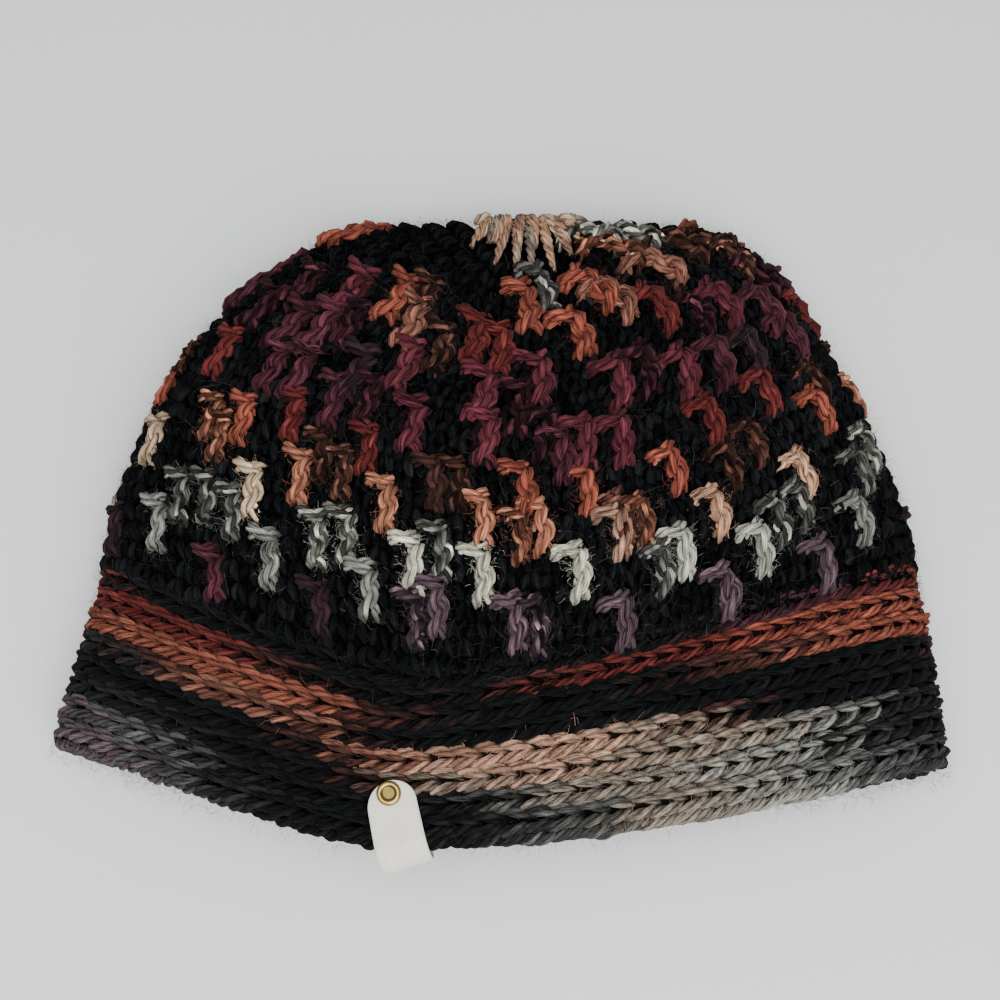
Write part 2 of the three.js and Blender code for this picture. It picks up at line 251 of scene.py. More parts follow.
def solid_point(rise, angle, depth):
    """A point of the fabric by its angle: 0 at the right fold, a quarter turn at the front's middle."""
    rise, angle, depth = np.broadcast_arrays(rise, angle, depth)
    s = section_at(rise)
    cosine, sine = np.cos(angle), np.sin(angle)
    on_front = sine >= 0
    u = np.clip((rise - PLEAT_START) / (1 - PLEAT_START), 0, 1)
    pleat = PLEAT_DEPTH * np.sin(np.pi * u**1.6) * (0.5 - 0.5 * np.cos(PLEATS * angle))
    inside = depth + np.where(on_front, pleat, 0)
    across = np.sign(cosine) * np.abs(cosine) ** FRONT_FULLNESS
    away = np.abs(sine) ** FRONT_FULLNESS
    left = across < s["low"]
    reach = np.where(left, 1 + s["low"], 1 - s["low"])
    shape = 1 - np.abs((across - s["low"]) / reach) ** np.where(left, s["bendL"], s["bendR"])
    dip = np.where(on_front, s["front"], s["back"]) * shape
    end_on = inside * s["endOn"]
    base = np.maximum(s["baseZ"], 0) + depth
    back_z = np.maximum(base, s["foldZ"] - (s["foldZ"] - base) * BACK_FLATNESS * away)
    front_z = s["foldZ"] + (s["topZ"] - inside - s["foldZ"]) * away
    return np.stack(
        [
            s["midX"] + (s["half"] - inside) * across,
            s["foldY"] - s["skew"] * across - end_on - dip * (1 - end_on / (s["front"] + WALL)),
            np.where(on_front, front_z, back_z),
        ],
        axis=-1,
    )


def ring_table(rises=np.linspace(-0.05, 1.0, 211), steps=1440):
    """Angles at even distances round the hat, for each of some rises, and each ring's length."""
    angles = np.linspace(0.5 * np.pi, -1.5 * np.pi, steps + 1)
    points = solid_point(rises[:, None], angles[None, :], 0.0)
    lengths = np.cumsum(np.linalg.norm(np.diff(points, axis=1), axis=-1), axis=1)
    lengths = np.pad(lengths, ((0, 0), (1, 0)))
    even = np.linspace(0, 1, steps + 1)
    table = [np.interp(even, line / line[-1], angles) for line in lengths]
    return rises, np.array(table), lengths[:, -1]


RISES, ANGLES, LENGTHS = ring_table()


def ring_length(rise):
    return np.interp(rise, RISES, LENGTHS)


def fabric(rise, share, depth):
    """A point of the fabric by its share of the way round: 0 at the front's middle, then to the right."""
    rise, share, depth = np.broadcast_arrays(rise, share, depth)
    steps = ANGLES.shape[1] - 1
    across = np.mod(share, 1.0) * steps
    j = np.minimum(across.astype(int), steps - 1)
    up = np.clip((rise - RISES[0]) / (RISES[1] - RISES[0]), 0, len(RISES) - 1.001)
    i = up.astype(int)
    f, g = across - j, up - i
    low = ANGLES[i, j] * (1 - f) + ANGLES[i, j + 1] * f
    high = ANGLES[i + 1, j] * (1 - f) + ANGLES[i + 1, j + 1] * f
    return solid_point(rise, low * (1 - g) + high * g, depth)


def unit(vectors):
    return vectors / np.maximum(np.linalg.norm(vectors, axis=-1, keepdims=True), 1e-9)


def outward(rise, share):
    """The fabric's outward normal."""
    step = 2e-3
    across = fabric(rise, share + step, 0.0) - fabric(rise, share - step, 0.0)
    along = fabric(rise + step, share, 0.0) - fabric(rise - step, share, 0.0)
    return unit(np.cross(across, along))


def lay(rise, share, path):
    """Lays a path of (right, up, out) on the fabric at each place: its points, and the normals there."""
    right, up, out = np.moveaxis(np.broadcast_to(path, (len(rise), *np.shape(path)[-2:])), -1, 0)
    step = 2e-3
    along = fabric(rise + step, share, 0.0) - fabric(rise - step, share, 0.0)
    climb = np.linalg.norm(along, axis=-1) / (2 * step)
    rises = rise[:, None] + up / climb[:, None]
    shares = share[:, None] + right / ring_length(rise)[:, None]
    return fabric(rises, shares, -out), outward(rises, shares)


def strand_frame(centres, normals):
    """Sideways and outward directions along some centre lines, and the distance along each."""
    tangents = unit(np.gradient(centres, axis=1))
    side = unit(np.cross(tangents, normals))
    out = np.cross(side, tangents)
    steps = np.linalg.norm(np.diff(centres, axis=1, prepend=centres[:, :1]), axis=-1)
    return side, out, np.cumsum(steps, axis=1)


def tube(centres, normals, radii, colours, sides=5, flat=0.9, core=None):
    """Closed strands round some centre lines, as rings of points.

    core is the centre lines and radii of the yarns that the strands are plies of: their colour is painted
    darker near it, as shade in the creases between plies.
    """
    side, out, along = strand_frame(centres, normals)
    turn = np.linspace(0, 2 * np.pi, sides, endpoint=False)
    ring = np.cos(turn)[:, None] * side[:, :, None] + flat * np.sin(turn)[:, None] * out[:, :, None]
    reach = np.broadcast_to(radii, along.shape)[..., None, None]
    rings = centres[:, :, None] + reach * ring
    shades = np.repeat(np.broadcast_to(colours, centres.shape)[:, :, None], sides, 2)
    if core is not None:
        from_core = np.linalg.norm(rings - core[0][:, :, None], axis=-1) / core[1][..., None]
        # painted shade: a ply's colour darkens as it nears the yarn's core, in the creases between plies
        shades = shades * (CREASE_SHADE + (1 - CREASE_SHADE) * np.clip((from_core - 0.4) / 0.6, 0, 1))[..., None]
    return {"rings": rings, "along": along, "colours": shades, "closed": True}


def ribbon(centres, normals, radii, colours):
    """Thin flat fibres along some centre lines."""
    side, _, along = strand_frame(centres, normals)
    half = np.broadcast_to(radii, along.shape)[..., None] * side
    rings = np.stack([centres - half, centres + half], axis=2)
    shades = np.repeat(np.broadcast_to(colours, centres.shape)[:, :, None], 2, 2)
    return {"rings": rings, "along": along, "colours": shades, "closed": False}


def plied(centres, normals, radii, ply_colours, tip_shade=0.3, twist=0.5, contrast=0.22, fleck=0.0):
    """Yarn along some centre lines: plies wound round each other, one for each of the ply_colours.

    The argument after ply_colours is how light the two ends are painted, as shade where a stitch goes
    under its neighbours. fleck is how much a ply's lightness changes along it.
    """
    side, out, along = strand_frame(centres, normals)
    first = RANDOM.uniform(0, 2 * np.pi, (len(centres), 1))
    reach = np.broadcast_to(radii, along.shape)
    t = np.linspace(0, 1, centres.shape[1])
    # painted shade: each ply's colour darkens towards both ends, where the stitch goes under its neighbours
    light = (tip_shade + (1 - tip_shade) * np.clip(4.5 * np.minimum(t, 1 - t), 0, 1))[:, None]
    thickness = PLY_THICKNESS[len(ply_colours)]
    batches = []
    for number, shade in enumerate(ply_colours):
        phase = first + 2 * np.pi * number / len(ply_colours) + twist * along
        offset = np.cos(phase)[..., None] * side + np.sin(phase)[..., None] * out
        lines = centres + PLY_OFFSET * reach[..., None] * offset
        flecks = np.exp(RANDOM.normal(0, fleck, (*along.shape, 1)))
        colours = varied(shade[:, None], contrast) * light * flecks
        batches.append(tube(lines, normals, thickness * reach, colours, core=(centres, reach)))
    return batches


def strand_object(name, batches, material):
    """One mesh of strands. Each strand has its own patch of the second map, OFBake."""
    total = sum(len(b["rings"]) for b in batches)
    columns = math.ceil(math.sqrt(total))
    lines = math.ceil(total / columns)
    points, colours, corners, starts, yarn_map, bake_map = [], [], [], [], [], []
    first_point = first_corner = first_strand = 0
    for batch in batches:
        count, steps, sides = batch["rings"].shape[:3]
        closed = batch["closed"]
        faces_across = sides if closed else sides - 1
        index = first_point + np.arange(count * steps * sides).reshape(count, steps, sides)
        ends = index[:, 1:], index[:, :-1]
        quads = np.stack([ends[1], ends[0], np.roll(ends[0], -1, 2), np.roll(ends[1], -1, 2)], -1)
        quads = quads[:, :, :faces_across]
        caps = np.stack([index[:, 0], index[:, -1, ::-1]], 1)[:, : 2 * closed]
        per_strand = np.concatenate([quads.reshape(count, -1), caps.reshape(count, -1)], 1)
        sizes = np.concatenate([np.full((steps - 1) * faces_across, 4), np.full(2 * closed, sides)])
        offsets = np.concatenate([[0], np.cumsum(sizes)[:-1]])
        starts.append((first_corner + np.arange(count)[:, None] * per_strand.shape[1] + offsets).ravel())
        corners.append(per_strand.ravel())
        points.append(batch["rings"].reshape(-1, 3))
        colours.append(batch["colours"].reshape(-1, 3))

        k, j, c = np.meshgrid(np.arange(steps - 1), np.arange(faces_across), np.arange(4), indexing="ij")
        around = ((j + (c > 1)) / faces_across).ravel()
        step = (k + ((c == 1) | (c == 2))).ravel()
        turn = 2 * np.pi * np.arange(sides * closed) / sides
        cap_turns = np.concatenate([turn, turn[::-1]])
        cap_steps = np.repeat([0, steps - 1], len(turn))
        yarn_u = np.concatenate([around, cap_turns / (2 * np.pi)])
        yarn_v = batch["along"][:, np.concatenate([step, cap_steps])]
        yarn_map.append(np.stack([np.broadcast_to(yarn_u, yarn_v.shape), yarn_v], -1).reshape(-1, 2))
        cell_u = np.concatenate([0.05 + 0.9 * around, 0.5 + 0.35 * np.cos(cap_turns)])
        cap_v = np.repeat([0.06, 0.94], len(turn)) + 0.05 * np.sin(cap_turns)
        cell_v = np.concatenate([0.13 + 0.74 * step / (steps - 1), cap_v])
        strand = first_strand + np.arange(count)[:, None]
        across, up = strand % columns + cell_u, strand // columns + cell_v
        cells = np.stack([across / columns, up / lines], -1)
        bake_map.append(cells.reshape(-1, 2))
        first_point += index.size
        first_corner += per_strand.size
        first_strand += count
    places = np.concatenate(points)
    places[:, 2] = np.maximum(places[:, 2], TABLE_CLEARANCE)
    mesh = new_mesh(name, places, np.concatenate(corners), np.concatenate(starts), material)
    paint(mesh, np.concatenate(colours))
    for title, values in (("Yarn", yarn_map), ("OFBake", bake_map)):
        mesh.uv_layers.new(name=title).data.foreach_set("uv", np.concatenate(values).ravel())
    return add_object(name, mesh)


def new_mesh(name, places, corners, starts, material):
    mesh = bpy.data.meshes.new(name)
    mesh.vertices.add(len(places))
    mesh.vertices.foreach_set("co", (places * MM).ravel())
    mesh.loops.add(len(corners))
    mesh.loops.foreach_set("vertex_index", corners.astype(np.int32))
    mesh.polygons.add(len(starts))
    mesh.polygons.foreach_set("loop_start", starts.astype(np.int32))
    mesh.polygons.foreach_set("use_smooth", np.ones(len(starts), bool))
    mesh.update(calc_edges=True)
    mesh.materials.append(material)
    return mesh


def paint(mesh, colours):
    rgba = np.concatenate([np.clip(colours, 0, 1), np.ones((len(colours), 1))], axis=1)
    layer = mesh.color_attributes.new("yarn_colour", "FLOAT_COLOR", "POINT")
    layer.data.foreach_set("color", rgba.astype(np.float32).ravel())


def add_object(name, mesh):
    made = bpy.data.objects.new(name, mesh)
    bpy.context.collection.objects.link(made)
    return made


def grid_object(name, points, colours, material):
    """A closed surface over rows of points, each row a ring, with a face across each end."""
    rows, around = points.shape[:2]
    index = np.arange(rows * around).reshape(rows, around)
    low, high = index[:-1], index[1:]
    quads = np.stack([low, np.roll(low, -1, 1), np.roll(high, -1, 1), high], -1).reshape(-1, 4)
    corners = np.concatenate([quads.ravel(), index[0, ::-1], index[-1]])
    starts = np.append(np.arange(len(quads) + 1) * 4, len(quads) * 4 + around)
    places = points.reshape(-1, 3).copy()
    places[:, 2] = np.maximum(places[:, 2], TABLE_CLEARANCE)
    mesh = new_mesh(name, places, corners, starts, material)
    paint(mesh, colours.reshape(-1, 3))
    return add_object(name, mesh)


def run_colours(text, share):
    """The colour of a run of variegated yarn at some shares of the way round."""
    words = text.split()
    places = np.array([float(word) for word in words[::2]]) / RING
    shades = np.array([YARN[word] for word in words[1::2]])
    places = np.concatenate([places, [places[0] + 1]])
    shades = np.concatenate([shades, shades[:1]])
    wrapped = places[0] + np.mod(share - places[0], 1.0)
    return np.stack([np.interp(wrapped, places, shades[:, k]) for k in range(3)], axis=-1)


def run_plies(text, share):
    """The colours of the yarn's three plies, which change at slightly different places."""
    return [run_colours(text, share + shift * PLY_SHIFT) for shift in (-1, 0, 1)]


def varied(colours, amount):
    """Each strand's colour a little lighter or darker than its neighbours'."""
    factors = np.exp(RANDOM.normal(0, amount, (len(colours),) + (1,) * (colours.ndim - 1)))
    return colours * factors


# Materials


def shader(name, **sockets):
    material = bpy.data.materials.new(name)
    material.use_nodes = True
    surface = material.node_tree.nodes["Principled BSDF"]
    for title, value in sockets.items():
        surface.inputs[title.replace("_", " ")].default_value = value
    return material, material.node_tree, surface


def node(tree, kind, values=(), **links):
    """A node with its unlinked inputs' values by number, and its linked ones by in0, in1 and so on."""
    made = tree.nodes.new(kind)
    for key, value in dict(values).items():
        made.inputs[key].default_value = value
    for key, source in links.items():
        tree.links.new(source, made.inputs[int(key[2:])])
    return made


def maths(tree, operation, a, b=None):
    made = tree.nodes.new("ShaderNodeMath")
    made.operation = operation
    for socket, value in zip(made.inputs, (a, b)):
        if isinstance(value, (int, float)):
            socket.default_value = value
        elif value is not None:
            tree.links.new(value, socket)
    return made.outputs[0]


def multiply_add(tree, value, factor, addend):
    made = tree.nodes.new("ShaderNodeMath")
    made.operation = "MULTIPLY_ADD"
    tree.links.new(value, made.inputs[0])
    made.inputs[1].default_value = factor
    made.inputs[2].default_value = addend
    return made.outputs[0]


def painted(tree):
    """The colour painted on the mesh."""
    colour = tree.nodes.new("ShaderNodeAttribute")
    colour.attribute_name = "yarn_colour"
    return colour.outputs["Color"]


def object_place(tree):
    return tree.nodes.new("ShaderNodeTexCoord").outputs["Object"]


def vector_maths(tree, operation, a, b):
    """b is a vector of numbers, a socket, or for SCALE the socket of the factor."""
    made = tree.nodes.new("ShaderNodeVectorMath")
    made.operation = operation
    tree.links.new(a, made.inputs[0])
    second = made.inputs["Scale"] if operation == "SCALE" else made.inputs[1]
    if isinstance(b, tuple):
        second.default_value = b
    else:
        tree.links.new(b, second)
    return made.outputs[0]


def yarn_material(name, sheen=0.02, gloss=0.04):
    """Yarn: the ply's colour with streaks of lighter and darker fibres along it, rough. Where the streaks
    sink the bump, the colour is darker as painted shade in the grooves.
    """
    material, tree, surface = shader(name, Roughness=0.9, Sheen_Weight=sheen, Sheen_Roughness=0.5)
    surface.inputs["Specular IOR Level"].default_value = gloss
    colour = painted(tree)
    strand = tree.nodes.new("ShaderNodeUVMap")
    strand.uv_map = "Yarn"
    place = object_place(tree)
    stretched = vector_maths(tree, "MULTIPLY", strand.outputs[0], (8.0, 0.22, 0.0))
    moved = vector_maths(tree, "MULTIPLY", place, (90.0, 90.0, 90.0))
    streak_place = vector_maths(tree, "ADD", stretched, moved)
    noise = {"Scale": 1.6, "Detail": 3.0, "Roughness": 0.6}
    streaks = node(tree, "ShaderNodeTexNoise", noise, in0=streak_place)
    fine = node(tree, "ShaderNodeTexNoise", {"Scale": 2600.0, "Detail": 2.0}, in0=place)
    # fibre tone, and painted shade: the noise that sinks the bump also darkens the colour there
    lighter = multiply_add(tree, streaks.outputs[0], 4.0, -1.17)
    fleck = multiply_add(tree, fine.outputs[0], 0.8, 0.6)
    strength = maths(tree, "MULTIPLY", lighter, fleck)
    shade = vector_maths(tree, "SCALE", colour, strength)
    tree.links.new(shade, surface.inputs["Base Color"])
    height = maths(tree, "ADD", streaks.outputs[0], maths(tree, "MULTIPLY", fine.outputs[0], 0.4))
    add_bump(tree, surface, height, 0.7, 0.00025)
    return material


def add_bump(tree, surface, height, strength, distance):
    bump = node(tree, "ShaderNodeBump", {"Strength": strength, "Distance": distance})
    tree.links.new(height, bump.inputs["Height"])
    tree.links.new(bump.outputs[0], surface.inputs["Normal"])


def ground_material(name):
    """The fabric behind the stitches: matted fibres, with no strand of their own."""
    material, tree, surface = shader(name, Roughness=0.95)
    surface.inputs["Specular IOR Level"].default_value = 0.01
    colour = painted(tree)
    place = object_place(tree)
    noise = {"Scale": 900.0, "Detail": 5.0, "Roughness": 0.7}
    fibres = node(tree, "ShaderNodeTexNoise", noise, in0=place)
    shade = vector_maths(tree, "SCALE", colour, multiply_add(tree, fibres.outputs[0], 1.3, 0.35))
    tree.links.new(shade, surface.inputs["Base Color"])
    add_bump(tree, surface, fibres.outputs[0], 0.8, 0.0008)
    return material


def fibre_material(name):
    material, tree, surface = shader(name, Roughness=0.8)
    surface.inputs["Specular IOR Level"].default_value = 0.1
    tree.links.new(painted(tree), surface.inputs["Base Color"])
    return material


def leatherette_material(name):
    """Smooth pale leatherette: a fine grain, with faint mottling and slightly darker edges."""
    material, tree, surface = shader(name, Roughness=0.5)
    surface.inputs["Specular IOR Level"].default_value = 0.35
    colour = painted(tree)
    place = object_place(tree)
    grain = node(tree, "ShaderNodeTexVoronoi", {"Scale": 2200.0}, in0=place)
    mottle = node(tree, "ShaderNodeTexNoise", {"Scale": 260.0, "Detail": 4.0}, in0=place)
    shade = vector_maths(tree, "SCALE", colour, multiply_add(tree, mottle.outputs[0], 0.3, 0.85))
    tree.links.new(shade, surface.inputs["Base Color"])
    rough = multiply_add(tree, mottle.outputs[0], 0.3, 0.38)
    tree.links.new(rough, surface.inputs["Roughness"])
    height = maths(tree, "ADD", maths(tree, "MULTIPLY", grain.outputs[0], 0.6), mottle.outputs[0])
    add_bump(tree, surface, height, 0.25, 0.0003)
    return material


def brass_material(name):
    """Brass with fine scratches, dulled in the dish and brighter on the rolled edge."""
    material, tree, surface = shader(name, Metallic=1.0, Roughness=0.32)
    colour = painted(tree)
    place = object_place(tree)
    tarnish = node(tree, "ShaderNodeTexNoise", {"Scale": 700.0, "Detail": 5.0}, in0=place)
    shade = vector_maths(tree, "SCALE", colour, multiply_add(tree, tarnish.outputs[0], 0.6, 0.7))
    tree.links.new(shade, surface.inputs["Base Color"])
    tree.links.new(multiply_add(tree, tarnish.outputs[0], 0.4, 0.14), surface.inputs["Roughness"])
    add_bump(tree, surface, tarnish.outputs[0], 0.15, 0.0002)
    return material


# Stitches


def brim_row(rise):
    """The number of the braid row that is nearest to a rise."""
    return np.clip(np.round((BRIM_TOP + ROW_STEP - rise) / ROW_STEP), 0, len(BRIM_RUNS) - 1)


def wall_object(material):
    """The fabric behind the stitches: the outside, round the brim's edge, and the inside. Its colour is
    painted darker than the yarn's, as shade in the gaps between stitches.
    """
    around, rows = 160, 56
    low, high = 0.012, 0.998
    shares = np.arange(around) / around
    outer_depth, inner_depth = 1.7, WALL - 0.4
    outside = [(rise, outer_depth) for rise in np.linspace(low, high, rows)]
    inside = [(rise, inner_depth) for rise in np.linspace(low, INNER_TOP, rows)]
    middle, radius = (outer_depth + inner_depth) / 2, (inner_depth - outer_depth) / 2
    turns = np.linspace(0, math.pi, 7)[1:-1]
    edge = [(low - 0.006 * math.sin(turn), middle + radius * math.cos(turn)) for turn in turns]
    line = np.array(inside[::-1] + edge + outside)
    points = fabric(line[:, :1], shares[None, :], line[:, 1:])
    # painted shade: darker than the black yarn, for the gaps between the crown's stitches
    colours = np.broadcast_to(YARN["black"] * 0.6, points.shape).copy()
    in_brim = line[:, 0] < BRIM_TOP + ROW_STEP
    for row in np.flatnonzero(in_brim):
        runs = BRIM_RUNS[int(brim_row(line[row, 0]))]
        # painted shade: nearly black, with a little of the brim yarn's own colour, for the gaps between
        # braids
        colours[row] = run_colours(runs, shares) * 0.05 + YARN["black"] * 0.4
    return grid_object("fabric_wall", points, colours, material)


def row_places(rises, pitch, stagger=0.5):
    """Rise and share of evenly spaced stitches on each of some rounds."""
    found = []
    for number, rise in enumerate(rises):
        count = max(9, round(ring_length(rise) / pitch))
        shares = (np.arange(count) + stagger * (number % 2)) / count
        found.append(np.stack([np.full(count, rise), shares]))
    return np.concatenate(found, axis=1)


def jitter(path, count, amount):
    return path + RANDOM.normal(0, amount, (count, 1, 3))


def leaf(start, end, steps, swell, tuck):
    """A stitch's leg from start to end, (right, up), that swells out of the fabric and tucks in."""
    t = np.linspace(0, 1, steps)[:, None]
    path = np.array([start]) * (1 - t) + np.array([end]) * t
    out = swell * np.sin(np.pi * np.clip(t * 0.9 + 0.08, 0, 1)) - tuck
    return np.concatenate([path, out], axis=1)


def leaf_radii(steps, radius):
    t = np.linspace(0, 1, steps)
    return radius * (0.35 + 0.65 * np.sin(np.pi * (0.05 + 0.9 * t)) ** 0.75)


def faces(shares, on_front):
    """Whether each share is on the asked side of the hat."""
    return (np.cos(2 * np.pi * shares) > 0) == on_front


def mirrored_leg(leg, side, swell):
    """One leg of a V that lies on its side: side is 1 or -1."""
    (left, low), (right, high) = leg["start"], leg["end"]
    return leaf((left, low * side), (right, high * side), leg["steps"], swell, leg["tuck"])


def brim_braids(material, on_front):
    """The brim's camel-stitch rows: sideways V stitches, one inside the next, in the variegated yarn."""
    batches = []
    steps = BRAID["steps"]
    for number, runs in enumerate(BRIM_RUNS):
        rise = BRIM_TOP + ROW_STEP * (1 - number)
        places, shares = row_places([rise], BRAID["pitch"])
        shares = shares + BRAID_SHIFT * number / len(shares)
        half = faces(shares, on_front)
        places, shares = places[half], shares[half]
        kind = SOFT_BRAID if number < SOFT_ROWS else FULL_BRAID
        for side in (1, -1):
            path = mirrored_leg(BRAID, side, kind["swell"])
            path[:, 1] += BRAID["bow"] * side * np.sin(np.pi * np.linspace(0, 1, steps))
            centres, normals = lay(places, shares, jitter(path, len(places), 0.2))
            radii = leaf_radii(steps, kind["radius"])
            batches += plied(centres, normals, radii, run_plies(runs, shares))
    return strand_object("brim_front" if on_front else "brim_back", batches, material)


def brim_edge(material):
    """Stitches that wrap the brim's edge from the outside to the inside."""
    places, shares = row_places([0.0], EDGE["pitch"])
    t = np.linspace(0, np.pi, EDGE["steps"])
    right = EDGE["slant"] * np.cos(t)
    up = EDGE["up"] - EDGE["drop"] * np.sin(t)
    out = EDGE["half_depth"] * np.cos(t) - WALL / 2
    path = np.stack([right, up, out], axis=1)
    centres, normals = lay(places, shares, jitter(path, len(places), 0.25))
    radii = leaf_radii(EDGE["steps"], EDGE["radius"])
    batches = plied(centres, normals, radii, run_plies(BRIM_RUNS[-1], shares), contrast=0.3)
    return strand_object("brim_edge", batches, material)


def inside_rows(material):
    """The wrong side of the stitches, as they show in the mouth: flat rows on the fabric's inside."""
    batches = []
    leg = INSIDE_LEG
    radii = leaf_radii(leg["steps"], leg["radius"])
    for number, rise in enumerate(np.arange(INSIDE["from"], INSIDE["to"], INSIDE["step"])):
        places, shares = row_places([rise], INSIDE["pitch"])
        if number < len(BRIM_RUNS):
            shade = run_colours(BRIM_RUNS[-1 - number], shares) * 0.8
        else:
            shade = np.tile(YARN["black"], (len(places), 1))
        for side in (1, -1):
            path = mirrored_leg(leg, side, leg["swell"])
            path[:, 2] = -WALL - path[:, 2]
            centres, normals = lay(places, shares, jitter(path, len(places), 0.2))
            batches.append(tube(centres, -normals, radii, varied(shade[:, None], 0.2), sides=4))
    return strand_object("inside_rows", batches, material)


def ground_stitches(material, on_front):
    """The crown's plain black stitches, upright V shapes in staggered rounds."""
    rises = np.arange(GROUND["from"], GROUND["to"], GROUND["step"])
    places, shares = row_places(rises, GROUND["pitch"])
    half = faces(shares, on_front)
    places, shares = places[half], shares[half]
    leg = GROUND_LEG
    (start, top), (end, bottom) = leg["start"], leg["end"]
    radii = leaf_radii(leg["steps"], GROUND_RADIUS)
    batches = []
    for side in (1, -1):
        path = leaf((start * side, top), (end * side, bottom), leg["steps"], leg["swell"], leg["tuck"])
        centres, normals = lay(places, shares, jitter(path, len(places), 0.25))
        colours = varied(np.tile(YARN["black"], (len(places), 1))[:, None], 0.35)
        batches.append(tube(centres, normals, radii, colours, sides=4))
    return strand_object("ground_front" if on_front else "ground_back", batches, material)


def twisted_pair(rise, share, line, across, ply_colours, radius, turns, spread, marled):
    """Two strands twisted round each other along a line of (right, up) at each place, as batches of plies.

    across is the direction, (right, up), that they swing to as they turn.
    """
    t = np.linspace(0, 1, len(line))
    size = 1 + UPPER_GROWTH * np.clip((rise - 0.5) / 0.15, 0, 1)[:, None, None]
    batches = []
    for half in (0, np.pi):
        phase = half + 2 * np.pi * turns * np.minimum(t, 0.85)
        width = spread * (1 + 0.6 * np.clip((t - 0.72) / 0.28, 0, 1))
        out = 0.35 + 0.75 * np.sin(phase) - 2.0 * np.abs(2 * t - 1) ** 7
        offset = (width * np.cos(phase))[:, None] * np.array(across)
        path = np.concatenate([line + offset, out[:, None]], axis=1)
        centres, normals = lay(rise, share, jitter(path * size, len(rise), 0.2))
        radii = radius * (1 - 0.5 * np.abs(2 * t - 1) ** 6) * size[:, :, 0] ** 0.6
        twist, fleck = (0.8, 0.55) if marled else (0.5, 0.12)
        batches += plied(centres, normals, radii, ply_colours, tip_shade=0.45, twist=twist, fleck=fleck)
    return batches


def overlaid(rise, share, colour, marled, column_steps, bar_steps):
    """Overlaid stitches of one colour: a short bar whose right end hangs down as a twisted column."""
    strengths = MARL if marled else (1, 1, 1)
    plies = [np.tile(YARN[colour] * strength, (len(rise), 1)) for strength in strengths]
    t = np.linspace(0, 1, column_steps)
    column = np.stack([COLUMN_BOW * np.sin(np.pi * t), COLUMN_LENGTH * (0.5 - t)], axis=1)
    batches = twisted_pair(rise, share, column, (1, 0), plies, **COLUMN, marled=marled)
    t = np.linspace(0, 1, bar_steps)
    bar = np.stack([BAR_LENGTH * (t - 1) + BAR_OVERHANG, COLUMN_LENGTH * 0.45 + t], axis=1)
    return batches + twisted_pair(rise, share, bar, (0, 1), plies, **BAR, marled=marled)


def overlay_stitches(material, on_front):
    """The overlaid stitches of the front, or those of the back and the folds."""
    turn = 0.0 if on_front else 0.5
    steps = FRONT_STEPS if on_front else BACK_STEPS
    batches = []
    for chart, marled in ((OVERLAY, False), (MARLED, True)):
        for colour, places in chart.items():
            across, rise = np.array(places, float).T
            batches += overlaid(rise, turn + across / ring_length(rise), colour, marled, *steps)
    if not on_front:
        for colour, places in FOLDS.items():
            share, rise = np.array(places).T
            batches += overlaid(rise, share, colour, False, *steps)
    return strand_object("overlay_front" if on_front else "overlay_back", batches, material)


def gathered_end(material):
    """The fingers of pale yarn where the crown is drawn shut, which hang from a short ridge."""
    batches = []
    t = np.linspace(0, 1, FINGER_STEPS)[:, None]
    count = RIDGE["fingers"]
    for behind in (False, True):
        for layer, (low, bulge) in enumerate(FINGER_LAYERS):
            across = np.linspace(*RIDGE["ends"], count) + RANDOM.normal(0, 0.5, count)
            from_pole = across - RIDGE["pole"]
            ends = low + np.clip(RANDOM.normal(0, 0.009, count), -0.015, 0.015)
            share = 0.25 * 1.15 * from_pole / section_at(ends)["half"]
            share = 0.5 - share if behind else share
            bottom = fabric(ends, share, -0.2)
            ridge_y = RIDGE["y"] - RIDGE["fall"] * from_pole**2
            top = np.stack([across, ridge_y, np.full(count, RIDGE["z"])], axis=-1)
            facing = outward(np.minimum(ends, 0.94), share)[:, None]
            straight = top[:, None] * (1 - t) + bottom[:, None] * t
            centres = straight + bulge * np.sin(np.pi * t**0.8) * facing
            radii = FINGER_RADIUS * (1 - FINGER_TAPER * t[:, 0] ** 2)
            names = [FINGER_SHADES[(k + 3 * layer) % len(FINGER_SHADES)] for k in range(count)]
            colours = np.array([YARN[name] for name in names])
            normals = np.broadcast_to(facing, centres.shape)
            batches += plied(centres, normals, radii, [colours] * 3, tip_shade=0.55, twist=0.6)
    return strand_object("crown_rosette", batches, material)


def loose_fibres(rise, share, colours, longest, standing):
    """Curling fibres that start at some places and stand out of the yarn."""
    count = len(rise)
    heading = RANDOM.uniform(0, 2 * np.pi, (count, 1))
    length = RANDOM.uniform(0.25, 1.0, (count, 1)) ** 1.5 * longest
    curl = RANDOM.normal(0, 1.2, (count, 1))
    stand = RANDOM.uniform(0.05, standing, (count, 1))
    t = np.linspace(0, 1, FIBRE_STEPS)
    bearing = heading + curl * t
    right = length * np.cumsum(np.cos(bearing), axis=1) / len(t)
    up = length * np.cumsum(np.sin(bearing), axis=1) / len(t)
    out = 0.4 + stand * length * (t - 0.4 * t**2)
    centres, normals = lay(rise, share, np.stack([right, up, out], axis=-1))
    half_widths = FIBRE_HALF_WIDTH * (1 - 0.5 * t)
    return ribbon(centres, normals, half_widths, varied(colours[:, None], 0.3))


